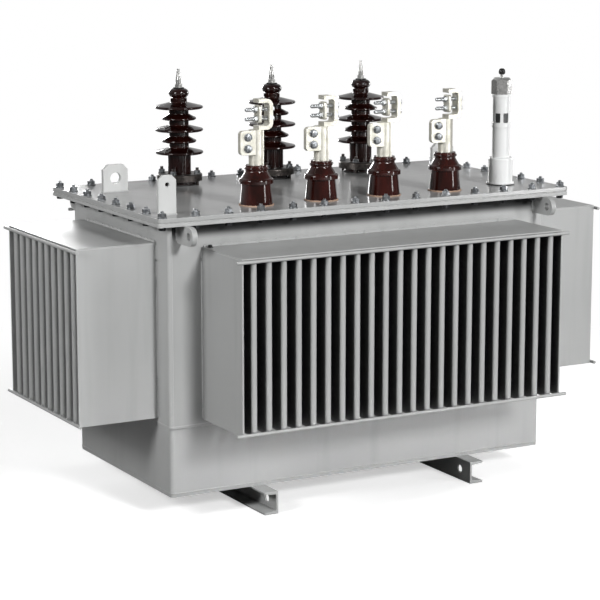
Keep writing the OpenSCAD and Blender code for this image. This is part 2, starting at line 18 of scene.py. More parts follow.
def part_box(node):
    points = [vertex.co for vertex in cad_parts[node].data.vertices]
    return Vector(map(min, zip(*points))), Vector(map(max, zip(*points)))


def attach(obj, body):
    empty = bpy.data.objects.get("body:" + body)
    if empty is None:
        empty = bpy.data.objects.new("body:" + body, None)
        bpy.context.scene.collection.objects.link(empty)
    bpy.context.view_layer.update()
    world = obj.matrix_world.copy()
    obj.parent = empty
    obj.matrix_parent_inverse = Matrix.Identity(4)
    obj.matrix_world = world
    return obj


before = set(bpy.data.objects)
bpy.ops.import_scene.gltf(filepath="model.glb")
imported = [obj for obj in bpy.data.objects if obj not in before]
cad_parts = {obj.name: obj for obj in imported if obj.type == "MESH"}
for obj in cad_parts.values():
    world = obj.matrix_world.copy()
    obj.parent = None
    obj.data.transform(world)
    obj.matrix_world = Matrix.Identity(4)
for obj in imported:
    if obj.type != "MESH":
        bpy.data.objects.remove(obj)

LOG = logging.getLogger("transformer")
BODY = "root"
MM = 0.001
DOWN = Vector((0, 0, -1))
# Edges sharper than this stay crisp.
CRISP = math.radians(32)
# Height of a thread's turn, drawn coarser than the real one so that it shows.
PITCH = 2.2 * MM
# How far the top of a bank's cover lies above its fins.
COVER_T = 4 * MM
# Steps round a corner of the tank.
CORNER_STEPS = 8
Profile = Sequence[tuple[float, float]]


class Slot(Enum):
    """The record's material slots."""

    PAINT = "grey_paint"
    PORCELAIN = "porcelain"
    CONNECTOR = "tinned_brass"
    FASTENER = "zinc_steel"
    SEAL = "gasket_rubber"
    GAUGE = "gauge_white"


def linear(code: str) -> tuple[float, float, float, float]:
    """Turns an sRGB hex colour into linear light.

    Args:
        code: Six hex digits after a hash sign.

    Returns:
        Red, green, blue and an alpha of one.
    """
    parts = [int(code[i:i + 2], 16) / 255 for i in (1, 3, 5)]
    light = [c / 12.92 if c <= 0.04045 else ((c + 0.055) / 1.055) ** 2.4 for c in parts]
    return light[0], light[1], light[2], 1.0


def per_metre(size: float) -> float:
    """Turns a pattern's real size in millimetres into a texture scale."""
    return 1 / (size * MM)


def add_node(
    tree: NodeTree, kind: str, sockets: dict[str | int, object] | None = None, **settings: object
) -> Node:
    """Adds a shader node.

    Args:
        tree: The node tree that gets it.
        kind: The node's type, without ShaderNode in front.
        sockets: For an input's name or number, the value to set, the output to link, or a node
            whose first live output is linked.
        settings: The node's own properties.

    Returns:
        The new node.
    """
    node = tree.nodes.new(f"ShaderNode{kind}")
    for name, value in settings.items():
        setattr(node, name, value)
    for key, value in (sockets or {}).items():
        if isinstance(value, Node):
            value = next(output for output in value.outputs if output.enabled)
        if isinstance(value, NodeSocket):
            tree.links.new(value, node.inputs[key])
        else:
            node.inputs[key].default_value = value
    return node


def edge_mask(
    tree: NodeTree, radius: float, lean: tuple[float, float], most: float
) -> tuple[NodeSocket, Node]:
    """Adds the nodes that find where a surface comes near an edge.

    Args:
        tree: The node tree that gets them.
        radius: How far edges are softened.
        lean: The softened normal's dot product with the face's own one, where the mask starts
            and where it is full. It is below one only beside an edge.
        most: The mask where it is full.

    Returns:
        The softened normal and the mask.
    """
    face = add_node(tree, "NewGeometry").outputs["Normal"]
    soft = add_node(tree, "Bevel", {"Radius": radius}, samples=4).outputs["Normal"]
    dot = add_node(tree, "VectorMath", {0: soft, 1: face}, operation="DOT_PRODUCT")
    start, full = lean
    return soft, add_node(
        tree, "MapRange", {"Value": dot, "From Min": start, "From Max": full, "To Max": most}
    )


def light_paths(tree: NodeTree) -> tuple[Node, Node]:
    """Adds the nodes that tell rays apart.

    Args:
        tree: The node tree that gets them.

    Returns:
        The light path node, and a node that is one for rays off or through a shiny surface.
    """
    ray = add_node(tree, "LightPath")
    return ray, add_node(
        tree, "Math", {0: ray.outputs["Is Glossy Ray"], 1: ray.outputs["Is Transmission Ray"]},
        operation="MAXIMUM",
    )


@dataclass(frozen=True)
class Finish:
    """A procedural finish, made once and shared by all that wears it."""

    name: str

    def material(self) -> Material:
        """Gives the finish's material and makes it at its first use.

        Returns:
            The material.
        """
        found = bpy.data.materials.get(self.name)
        if found is None:
            found = bpy.data.materials.new(self.name)
            found.use_nodes = True
            tree = found.node_tree
            tree.nodes.clear()
            add_node(tree, "OutputMaterial", {"Surface": self.wire(tree)})
        return found

    def wire(self, tree: NodeTree) -> Node:
        """Adds the finish's nodes and returns its shader."""
        raise NotImplementedError


@dataclass(frozen=True)
class GreyEnamel(Finish):
    """Grey alkyd enamel sprayed on sheet steel: an even neutral grey with a soft gloss.

    The eye sees a faint orange peel, broad changes in film thickness and dull runs down the walls.
    A lighter line along edges is partly edge wear and partly a painted highlight; hollows and a
    band under a flange are painted near black as shade.
    """

    light: str = "#b4b5b4"
    shade: str = "#a8a9a9"
    # Colour of the edges: partly edge wear, partly a painted highlight.
    rim: str = "#dedfde"
    run: str = "#9c9d9c"
    # Near-black colour of the painted shade in hollows and under flanges.
    painted_shade: str = "#121314"
    gloss: tuple[float, float] = (0.30, 0.42)
    # Roughness where the painted shade lies.
    painted_shade_roughness: float = 0.85
    edge: float = 2.5 * MM
    # How near black the painted shade goes; nought turns it off.
    shade_strength: float = 0.96
    # Ambient occlusion where the painted shade starts and where it is full.
    deep: tuple[float, float] = (0.45, 0.15)
    # Heights between which a band under a flange is painted near black as shadow.
    painted_rim_shadow: tuple[float, float] = (2.0, 3.0)

    def wire(self, tree: NodeTree) -> Node:
        """Adds the enamel's nodes and returns its shader."""
        place = add_node(tree, "TexCoord").outputs["Object"]
        soft, edge = edge_mask(tree, self.edge, (0.99, 0.80), 0.8)
        film = add_node(tree, "TexNoise", {"Vector": place, "Scale": per_metre(380), "Detail": 4.0})
        # Runs are about 45 mm apart and ten times as long as they are wide.
        drawn = add_node(tree, "Mapping", {"Vector": place, "Scale": (1.0, 1.0, 0.1)})
        runs = add_node(tree, "TexNoise", {"Vector": drawn, "Scale": per_metre(45), "Detail": 2.0})
        streak = add_node(
            tree, "MapRange", {"Value": runs, "From Min": 0.52, "From Max": 0.80, "To Max": 0.45}
        )
        coat = add_node(
            tree, "Mix", {0: film, 6: linear(self.shade), 7: linear(self.light)}, data_type="RGBA"
        )
        runny = add_node(tree, "Mix", {0: streak, 6: coat, 7: linear(self.run)}, data_type="RGBA")
        # Edges are lightened, partly as edge wear and partly as a painted highlight.
        thin = add_node(tree, "Mix", {0: edge, 6: runny, 7: linear(self.rim)}, data_type="RGBA")
        # Hollows narrower than about 70 mm are painted near black as shade, from the ambient
        # occlusion.
        sky = add_node(tree, "AmbientOcclusion", {"Distance": 70 * MM}, samples=6).outputs["AO"]
        outer, inner = self.deep
        hollow_shade = add_node(
            tree, "MapRange",
            {"Value": sky, "From Min": outer, "From Max": inner, "To Max": self.shade_strength},
        )
        # Between these two heights, under a flange above, a band is painted near black as shadow.
        height = add_node(tree, "SeparateXYZ", {0: place}).outputs["Z"]
        low, high = self.painted_rim_shadow
        painted_rim_shadow = add_node(
            tree, "MapRange",
            {"Value": height, "From Min": low, "From Max": high, "To Max": self.shade_strength},
            interpolation_type="SMOOTHSTEP",
        )
        # Where either mask is high, the colour goes near black as painted shade and the gloss goes
        # matte.
        painted_shade_mask = add_node(tree, "Math", {0: hollow_shade, 1: painted_rim_shadow}, operation="MAXIMUM")
        coat_and_shade = add_node(tree, "Mix", {0: painted_shade_mask, 6: thin, 7: linear(self.painted_shade)}, data_type="RGBA")
        sheen = add_node(
            tree, "MapRange",
            {"Value": film, "From Min": 0.3, "From Max": 0.7,
             "To Min": self.gloss[0], "To Max": self.gloss[1]},
        )
        rough = add_node(tree, "Mix", {0: painted_shade_mask, 2: sheen, 3: self.painted_shade_roughness}, data_type="FLOAT")
        # Real orange peel is 1 to 2 mm across; 5 mm is the finest that the picture can show.
        peel = add_node(tree, "TexNoise", {"Vector": place, "Scale": per_metre(5), "Detail": 1.0})
        bump = add_node(
            tree, "Bump",
            {"Height": peel, "Strength": 0.06, "Distance": 0.4 * MM, "Normal": soft},
        )
        return add_node(
            tree, "BsdfPrincipled", {"Base Color": coat_and_shade, "Roughness": rough, "Normal": bump}
        )


@dataclass(frozen=True)
class BrownGlaze(Finish):
    """Brown-glazed electrical porcelain: a deep red-brown glass with sharp highlights.

    The glaze pools almost black in the hollows and runs thin and redder over rims and along ribs.
    """

    pooled: str = "#1f0805"
    body: str = "#330f0a"
    thin: str = "#60261a"
    edge: float = 3.5 * MM
    gloss: tuple[float, float] = (0.06, 0.13)
    shine: float = 0.42

    def wire(self, tree: NodeTree) -> Node:
        """Adds the glaze's nodes and returns its shader."""
        place = add_node(tree, "TexCoord").outputs["Object"]
        soft, rim = edge_mask(tree, self.edge, (0.99, 0.72), 0.75)
        # The glaze flows down while it melts, so its streaks are 25 mm wide and four times as long.
        drawn = add_node(tree, "Mapping", {"Vector": place, "Scale": (1.0, 1.0, 0.25)})
        flow = add_node(tree, "TexNoise", {"Vector": drawn, "Scale": per_metre(25), "Detail": 3.0})
        depth = add_node(tree, "MapRange", {"Value": flow, "From Min": 0.35, "From Max": 0.65})
        glaze = add_node(
            tree, "Mix", {0: depth, 6: linear(self.pooled), 7: linear(self.body)}, data_type="RGBA"
        )
        worn = add_node(tree, "Mix", {0: rim, 6: glaze, 7: linear(self.thin)}, data_type="RGBA")
        rough = add_node(
            tree, "MapRange",
            {"Value": flow, "From Min": 0.3, "From Max": 0.7,
             "To Min": self.gloss[0], "To Max": self.gloss[1]},
        )
        # Fired glaze lies in a low swell about 14 mm across.
        swell = add_node(tree, "TexNoise", {"Vector": place, "Scale": per_metre(14), "Detail": 1.0})
        bump = add_node(
            tree, "Bump",
            {"Height": swell, "Strength": 0.05, "Distance": 0.6 * MM, "Normal": soft},
        )
        return add_node(
            tree, "BsdfPrincipled",
            {"Base Color": worn, "Roughness": rough, "Normal": bump,
             "Specular IOR Level": self.shine},
        )


@dataclass(frozen=True)
class Metal(Finish):
    """Plated metal: a bright coat with a cloudy tone, fine grain and rubbed edges."""

    bright: str
    dull: str
    rubbed: str
    gloss: tuple[float, float]
    cloud: float
    grain: float
    relief: float
    metallic: float = 1.0
    edge: float = 1.0 * MM

    def wire(self, tree: NodeTree) -> Node:
        """Adds the plating's nodes and returns its shader."""
        place = add_node(tree, "TexCoord").outputs["Object"]
        soft, edge = edge_mask(tree, self.edge, (0.98, 0.75), 0.8)
        cloud = add_node(
            tree, "TexNoise", {"Vector": place, "Scale": per_metre(self.cloud), "Detail": 4.0}
        )
        tone = add_node(tree, "MapRange", {"Value": cloud, "From Min": 0.35, "From Max": 0.65})
        coat = add_node(
            tree, "Mix", {0: tone, 6: linear(self.dull), 7: linear(self.bright)}, data_type="RGBA"
        )
        worn = add_node(tree, "Mix", {0: edge, 6: coat, 7: linear(self.rubbed)}, data_type="RGBA")
        rough = add_node(
            tree, "MapRange", {"Value": tone, "To Min": self.gloss[1], "To Max": self.gloss[0]}
        )
        grain = add_node(
            tree, "TexNoise", {"Vector": place, "Scale": per_metre(self.grain), "Detail": 2.0}
        )
        bump = add_node(
            tree, "Bump",
            {"Height": grain, "Strength": 0.25, "Distance": self.relief, "Normal": soft},
        )
        return add_node(
            tree, "BsdfPrincipled",
            {"Base Color": worn, "Roughness": rough, "Normal": bump, "Metallic": self.metallic},
        )


@dataclass(frozen=True)
class Moulding(Finish):
    """Rubber, cork board, phenolic or glass: one body colour with specks and a haze of wear."""

    body: str
    fleck: str
    gloss: tuple[float, float]
    speck: float
    relief: float

    def wire(self, tree: NodeTree) -> Node:
        """Adds the moulding's nodes and returns its shader."""
        place = add_node(tree, "TexCoord").outputs["Object"]
        speck = add_node(
            tree, "TexNoise", {"Vector": place, "Scale": per_metre(self.speck), "Detail": 3.0}
        )
        amount = add_node(tree, "MapRange", {"Value": speck, "From Min": 0.45, "From Max": 0.75})
        colour = add_node(
            tree, "Mix", {0: amount, 6: linear(self.body), 7: linear(self.fleck)}, data_type="RGBA"
        )
        rough = add_node(
            tree, "MapRange", {"Value": amount, "To Min": self.gloss[0], "To Max": self.gloss[1]}
        )
        bump = add_node(tree, "Bump", {"Height": speck, "Strength": 0.2, "Distance": self.relief})
        return add_node(
            tree, "BsdfPrincipled", {"Base Color": colour, "Roughness": rough, "Normal": bump}
        )


# Sprayed and stoved grey enamel on the tank, with black painted shade in its hollows. The lid's top
# coat is wetter and mirrors what stands on it.
ENAMEL = GreyEnamel("grey_alkyd_enamel")
# The lid's grey is a darker copy of the tank's enamel: painted shade on the lid's top.
LID_ENAMEL = GreyEnamel(
    "grey_alkyd_enamel_wet_coat", light="#abacab", shade="#a0a1a1", gloss=(0.16, 0.24), shade_strength=0.0
)
# The plates that stand on the lid wear a paler copy of the tank's enamel: painted light.
LUG_ENAMEL = GreyEnamel("grey_alkyd_enamel_paler_painted_light", light="#cbcccb", shade="#c0c1c0", shade_strength=0.0)
# On the long walls a band under the rim is painted near black as the rim's shadow on the collar,
# darkest towards the top.
WALL_ENAMEL = GreyEnamel("grey_alkyd_enamel_under_rim", painted_rim_shadow=(840 * MM, 868 * MM))
# Between the fins the painted shade starts soon behind the noses on the long banks, and deeper in
# and lighter on the end banks.
FIN_ENAMEL = GreyEnamel("grey_alkyd_enamel_on_long_fins", deep=(0.66, 0.42))
END_FIN_ENAMEL = GreyEnamel("grey_alkyd_enamel_on_end_fins", deep=(0.60, 0.25), shade_strength=0.7)
# Enamel over a hand-laid bead keeps a duller skin.
WELD_ENAMEL = GreyEnamel("grey_enamel_over_weld", gloss=(0.36, 0.5), edge=1.2 * MM, shade_strength=0.0)
# White enamel on the gauge's turned tube, as smooth as it shines.
GAUGE_ENAMEL = GreyEnamel(
    "white_gauge_enamel", light="#ecedec", shade="#e2e3e3", rim="#f6f6f5", run="#d9dad9",
    gloss=(0.20, 0.28), edge=1.5 * MM, shade_strength=0.0,
)
# Red-brown glaze fired on wet-process porcelain.
PORCELAIN = BrownGlaze("brown_glazed_porcelain")
# The high-voltage insulators were fired darker, to a brown near black.
DARK_PORCELAIN = BrownGlaze(
    "dark_brown_glazed_porcelain", pooled="#120403", body="#200906", thin="#451a11"
)
# Cast brass with a dull tin coat: pale cream with a sandy skin.
TIN = Metal(
    "tinned_cast_brass", bright="#e0ded4", dull="#c2c0b4", rubbed="#efeee8", gloss=(0.34, 0.5),
    cloud=26.0, grain=2.5, relief=0.25 * MM, metallic=0.7,
)
# Turned copper with a tin coat that has gone grey: a cool silver with darker clouds.
GREY_TIN = Metal(
    "tinned_copper", bright="#a3a3a1", dull="#777776", rubbed="#c9c9c8", gloss=(0.3, 0.44),
    cloud=14.0, grain=1.6, relief=0.08 * MM, metallic=0.85,
)
# Zinc plate with a clear passivate: cool bright grey with a cloudy sheen.
ZINC = Metal(
    "zinc_plated_steel", bright="#d3d6d9", dull="#a9acae", rubbed="#e6e7e8", gloss=(0.22, 0.38),
    cloud=11.0, grain=1.6, relief=0.08 * MM,
)
# Zinc plate that has stood outdoors: a dull dark grey, rubbed bright on the corners by the spanner.
DULL_ZINC = Metal(
    "weathered_zinc_plate", bright="#96999c", dull="#606366", rubbed="#d4d6d8", gloss=(0.28, 0.46),
    cloud=9.0, grain=1.6, relief=0.1 * MM,
)
# Zinc under a black passivate: a smoky grey-brown that still glints on its edges.
BLACK_ZINC = Metal(
    "black_passivated_zinc", bright="#55504d", dull="#322e2c", rubbed="#8b8683", gloss=(0.3, 0.46),
    cloud=12.0, grain=1.6, relief=0.1 * MM, metallic=0.8,
)
# Steel blackened in hot oxide salts: near black with a soft oily sheen.
BLACK_OXIDE = Metal(
    "black_oxide_steel", bright="#37383a", dull="#212223", rubbed="#58595b", gloss=(0.34, 0.5),
    cloud=10.0, grain=1.6, relief=0.08 * MM, metallic=0.9,
)
# Satin nickel on turned brass: pale facets that change as they turn from the light.
NICKEL = Metal(
    "satin_nickel_on_brass", bright="#c6c6c4", dull="#a3a3a1", rubbed="#e4e4e2", gloss=(0.18, 0.28),
    cloud=18.0, grain=1.2, relief=0.03 * MM, metallic=0.8,
)
# Oil-proof nitrile rubber sheet, black with a chalky bloom.
RUBBER = Moulding(
    "black_nitrile_rubber", body="#191919", fleck="#2c2c2b", gloss=(0.55, 0.75), speck=3.0,
    relief=0.2 * MM,
)
# The lid's gasket was sprayed over with the tank: grey skin, cracked here and there to the rubber.
OVERSPRAY = Moulding(
    "nitrile_rubber_sprayed_over", body="#bcbdbc", fleck="#a0a1a0", gloss=(0.4, 0.6), speck=14.0,
    relief=0.2 * MM,
)
# Cork bonded with rubber: tan crumbs a couple of millimetres across.
CORK = Moulding(
    "rubber_bonded_cork", body="#a98b76", fleck="#c9b09c", gloss=(0.7, 0.85), speck=2.5,
    relief=0.3 * MM,
)
# Black phenolic moulding, shiny off the mould and hazed by hands.
PHENOLIC = Moulding(
    "black_phenolic", body="#111111", fleck="#1d1c1b", gloss=(0.22, 0.4), speck=4.0,
    relief=0.05 * MM,
)
# The float chamber is dark behind its sight glass, so the pane looks black, and oil mist dulls
# its shine.
SIGHT_GLASS = Moulding(
    "dark_sight_glass", body="#0b0d0e", fleck="#12161a", gloss=(0.3, 0.42), speck=9.0,
    relief=0.01 * MM,
)


def deselect() -> None:
    """Leaves edit mode and clears the selection."""
    if bpy.context.object and bpy.context.object.mode != "OBJECT":
        bpy.ops.object.mode_set(mode="OBJECT")
    bpy.ops.object.select_all(action="DESELECT")


def take(piece: Object) -> None:
    """Makes a piece the only selected one."""
    deselect()
    piece.select_set(True)
    bpy.context.view_layer.objects.active = piece


def added(operator: Callable[..., set[str]], **settings: object) -> Object:
    """Adds a primitive with its place in its mesh.

    Args:
        operator: The operator that adds it.
        settings: The operator's own settings.

    Returns:
        The new object, alone in the selection.
    """
    deselect()
    operator(**settings)
    bpy.ops.object.transform_apply(location=True, rotation=True, scale=True)
    return bpy.context.object


def apply_modifier(piece: Object, kind: str, **settings: object) -> None:
    """Adds a modifier to a piece and applies it.

    Args:
        piece: The piece to change.
        kind: The modifier's type.
        settings: The modifier's own settings.
    """
    take(piece)
    modifier = piece.modifiers.new(kind.lower(), kind)
    for name, value in settings.items():
        setattr(modifier, name, value)
    bpy.ops.object.modifier_apply(modifier=modifier.name)


def edit_faces(piece: Object, wanted: Callable[[MeshPolygon], bool]) -> None:
    """Enters edit mode with only the wanted faces selected.

    Args:
        piece: The piece to edit.
        wanted: Says of a face whether it is selected.
    """
    take(piece)
    bpy.ops.object.mode_set(mode="EDIT")
    bpy.ops.mesh.select_mode(type="FACE")
    bpy.ops.mesh.select_all(action="DESELECT")
    bpy.ops.object.mode_set(mode="OBJECT")
    for face in piece.data.polygons:
        face.select = wanted(face)
    bpy.ops.object.mode_set(mode="EDIT")


def edit_edges(piece: Object, wanted: Callable[[Vector, Vector], bool]) -> None:
    """Enters edit mode with only the wanted edges selected.

    Args:
        piece: The piece to edit.
        wanted: Says of an edge's two ends whether it is selected.
    """
    take(piece)
    bpy.ops.object.mode_set(mode="EDIT")
    bpy.ops.mesh.select_mode(type="EDGE")
    bpy.ops.mesh.select_all(action="DESELECT")
    bpy.ops.object.mode_set(mode="OBJECT")
    for edge in piece.data.edges:
        start, end = (piece.data.vertices[i].co for i in edge.vertices)
        edge.select = wanted(start, end)
    bpy.ops.object.mode_set(mode="EDIT")


def turned(profile: Profile, sides: int = 28, ring: bool = False) -> Object:
    """Turns a profile about the vertical axis by extruding and resizing a circle.

    Args:
        profile: Radius and height at each step; a ring's last step is its first.
        sides: Flats round the turning.
        ring: Whether the profile closes on itself round an open middle.

    Returns:
        The turned piece.
    """
    (radius, height), *steps = profile
    piece = added(
        bpy.ops.mesh.primitive_circle_add, vertices=sides, radius=radius, location=(0, 0, height),
        fill_type="NOTHING" if ring else "NGON",
    )
    bpy.ops.object.mode_set(mode="EDIT")
    # A bare circle has no face, so face mode would leave it unselected.
    bpy.ops.mesh.select_mode(type="VERT")
    bpy.ops.mesh.select_all(action="SELECT")
    for wide, high in steps:
        bpy.ops.mesh.extrude_region_move(TRANSFORM_OT_translate={"value": (0, 0, high - height)})
        bpy.ops.transform.resize(
            value=(wide / radius, wide / radius, 1), center_override=(0, 0, high)
        )
        radius, height = wide, high
    bpy.ops.mesh.select_all(action="SELECT")
    bpy.ops.mesh.remove_doubles(threshold=0.01 * MM)
    bpy.ops.mesh.normals_make_consistent(inside=False)
    bpy.ops.object.mode_set(mode="OBJECT")
    return piece


def hexagon(across: float, low: float, high: float) -> Object:
    """Models a hexagon bar with its corners turned off at both ends, as on a nut.

    Args:
        across: The size across flats.
        low: The lower end's height.
        high: The upper end's height.

    Returns:
        The hexagon.
    """
    corner, face = across / math.sqrt(3), across * 0.48
    past, drop = corner * 1.01, (corner - face) * 0.6
    bar = turned([(corner, low), (corner, high)], sides=6)
    cone = turned([(face, low), (past, low + drop), (past, high - drop), (face, high)], sides=36)
    apply_modifier(bar, "BOOLEAN", operation="INTERSECT", object=cone, solver="EXACT")
    bpy.data.objects.remove(cone)
    return bar


def thread(radius: float, low: float, high: float) -> Object:
    """Models a threaded end with a chamfered tip.

    Args:
        radius: The thread's outer radius.
        low: Where the thread starts.
        high: Where the tip ends.

    Returns:
        The thread.
    """
    core = radius * 0.86
    profile = [(core, low)]
    for turn in range(max(1, int((high - low - radius * 0.3) / PITCH))):
        profile += [
            (radius, low + (turn + 0.4) * PITCH), (radius, low + (turn + 0.6) * PITCH),
            (core, low + (turn + 1) * PITCH),
        ]
    profile += [(core, high - radius * 0.12), (radius * 0.7, high)]
    return turned(profile, sides=18)


def seal_ring(half: float, out: float, crown: float, height: float, sides: int) -> Object:
    """Models a flat seal that is pressed out round a foot.

    Args:
        half: The foot's radius.
        out: How far the seal's faces stand out from the foot.
        crown: How far its bulging rim stands out.
        height: Its thickness.
        sides: Flats round it.

    Returns:
        The seal.
    """
    inner = half - 3 * MM
    return turned([
        (inner, 0), (half + out, 0), (half + crown, height * 0.5), (half + out, height),
        (inner, height), (inner, 0),
    ], sides, True)


def joined(name: str, parts: Sequence[Object]) -> Object:
    """Joins parts into one named piece.

    Args:
        name: The piece's name.
        parts: The parts to join.

    Returns:
        The joined piece.
    """
    deselect()
    for part in parts:
        part.select_set(True)
    bpy.context.view_layer.objects.active = parts[0]
    if len(parts) > 1:
        bpy.ops.object.join()
    piece = bpy.context.object
    piece.name = piece.data.name = name
    return piece


def repeated(name: str, master: Object, places: Iterable[Matrix]) -> Object:
    """Copies a modelled part to each place and joins the copies.

    Args:
        name: The piece's name.
        master: The part that is copied; it is removed.
        places: Where each copy goes.

    Returns:
        The piece with all the copies.
    """
    copies = []
    for place in places:
        take(master)
        bpy.ops.object.duplicate(linked=False)
        copy = bpy.context.object
        copy.matrix_world = place
        bpy.ops.object.transform_apply(location=True, rotation=True, scale=True)
        copies.append(copy)
    bpy.data.objects.remove(master)
    return joined(name, copies)


def at(x: float, y: float, z: float, turn: float = 0.0) -> Matrix:
    """Gives the place at a point, turned about the vertical by an angle in degrees."""
    return Matrix.Translation((x, y, z)) @ Matrix.Rotation(math.radians(turn), 4, "Z")


def facing(x: float, y: float, z: float, way: Vector, turn: float = 0.0) -> Matrix:
    """Gives the place at a point whose +Z looks along a direction.

    Args:
        x: The point's X.
        y: The point's Y.
        z: The point's Z.
        way: The direction that +Z takes.
        turn: Turn about that direction, in degrees.

    Returns:
        The place.
    """
    aim = way.to_track_quat("Z", "Y").to_matrix().to_4x4()
    return Matrix.Translation((x, y, z)) @ aim @ Matrix.Rotation(math.radians(turn), 4, "Z")


def mount(piece: Object, finish: Finish) -> None:
    """Shades a finished piece, dresses it and fixes it to the body.

    Args:
        piece: The piece.
        finish: What it wears.
    """
    take(piece)
    bpy.ops.object.shade_smooth_by_angle(angle=CRISP)
    piece.data.materials.clear()
    piece.data.materials.append(finish.material())
    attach(piece, BODY)
    LOG.info("%s: %d faces in %s", piece.name, len(piece.data.polygons), finish.name)


def dress(finish: Finish, *names: str) -> None:
    """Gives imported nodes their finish.

    Args:
        finish: What they wear.
        names: The nodes' names.
    """
    for name in names:
        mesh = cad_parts[name].data
        mesh.materials.clear()
        mesh.materials.append(finish.material())
        LOG.info("%s wears %s", name, finish.name)


def rounded_path(half_x: float, half_y: float, corner: float, z: float) -> list[Vector]:
    """Lists the points of a level rounded rectangle about the tank's axis.

    Args:
        half_x: Half the length.
        half_y: Half the width.
        corner: The corner radius.
        z: The height.

    Returns:
        The points, in order, without the first one again at the end.
    """
    points = []
    for quarter, (sx, sy) in enumerate(((1, 1), (-1, 1), (-1, -1), (1, -1))):
        for step in range(CORNER_STEPS + 1):
            angle = math.radians(90 * quarter + 90 * step / CORNER_STEPS)
            points.append(Vector((
                sx * (half_x - corner) + corner * math.cos(angle),
                sy * (half_y - corner) + corner * math.sin(angle), z,
            )))
    return points


def weld(path: Sequence[Vector], radius: float, closed: bool = False, sway: float = 0.14) -> Object:
    """Lays a rippled weld bead along a path.

    Args:
        path: The path's corners.
        radius: The bead's radius.
        closed: Whether the path comes back to its start.
        sway: How much the bead swells and narrows, as a share of its radius.

    Returns:
        The bead as a mesh.
    """
    ripple = radius * 1.3
    corners = [*path, path[0]] if closed else list(path)
    dots: list[Vector] = []
    for start, end in zip(corners, corners[1:]):
        steps = max(1, round((end - start).length / ripple))
        dots += [start.lerp(end, step / steps) for step in range(steps)]
    if not closed:
        dots.append(corners[-1])
    piece = added(bpy.ops.curve.primitive_nurbs_path_add)
    curve = piece.data
    curve.splines.clear()
    line = curve.splines.new("POLY")
    line.points.add(len(dots) - 1)
    for number, (point, dot) in enumerate(zip(line.points, dots)):
        point.co = (*dot, 1.0)
        # A hand-laid bead swells and narrows slowly under its ripples.
        swell = sway * math.sin(0.37 * number) * math.sin(1.9 * number)
        point.radius = (1.0 if number % 2 else 0.8) + swell
    line.use_cyclic_u = closed
    curve.dimensions = "3D"
    curve.twist_mode = "Z_UP"
    curve.bevel_depth = radius
    curve.bevel_resolution = 1
    curve.use_fill_caps = not closed
    bpy.ops.object.convert(target="MESH")
    return bpy.context.object


def box_path(low: Vector, high: Vector, z: float) -> list[Vector]:
    """Lists the corners of a level rectangle round a box's plan, at a height."""
    return [Vector((low.x, low.y, z)), Vector((high.x, low.y, z)),
            Vector((high.x, high.y, z)), Vector((low.x, high.y, z))]


def foot(name: str) -> Vector:
    """Gives the point where an upright node's axis meets its seat."""
    low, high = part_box(name)
    return Vector(((low.x + high.x) / 2, (low.y + high.y) / 2, low.z))


@dataclass(frozen=True)
class Fastener:
    """A hexagon nut or head on its washer, modelled up from its seat at the origin."""

    across: float
    height: float
    washer: float
    washer_t: float
    stud: float = 12 * MM
    proud: float = 0.0
    chamfer: float = 0.5 * MM

    def model(self) -> Object:
        """Models the fastener; one with nothing proud is a plain bolt head.

        Returns:
            The fastener.
        """
        top = self.washer_t + self.height
        half = self.washer / 2
        seat = turned([
            (half - self.chamfer, 0), (half, self.chamfer), (half, self.washer_t - self.chamfer),
            (half - self.chamfer, self.washer_t),
        ])
        parts = [seat, hexagon(self.across, self.washer_t, top)]
        if self.proud:
            parts.append(thread(self.stud / 2, top - 1 * MM, top + self.proud))
        return joined("fastener", parts)


LID_NUT = Fastener(21 * MM, 11 * MM, 28 * MM, 3 * MM, proud=6 * MM)
LID_HEAD = Fastener(19 * MM, 8 * MM, 24 * MM, 2.5 * MM)
CLAMP_NUT = Fastener(17 * MM, 9 * MM, 22 * MM, 2.5 * MM)
PALM_HEAD = Fastener(19 * MM, 8 * MM, 25 * MM, 2.5 * MM)
PALM_NUT = Fastener(19 * MM, 10 * MM, 25 * MM, 2.5 * MM, proud=6 * MM)
STRAP_HEAD = Fastener(18 * MM, 7.5 * MM, 22 * MM, 2 * MM)


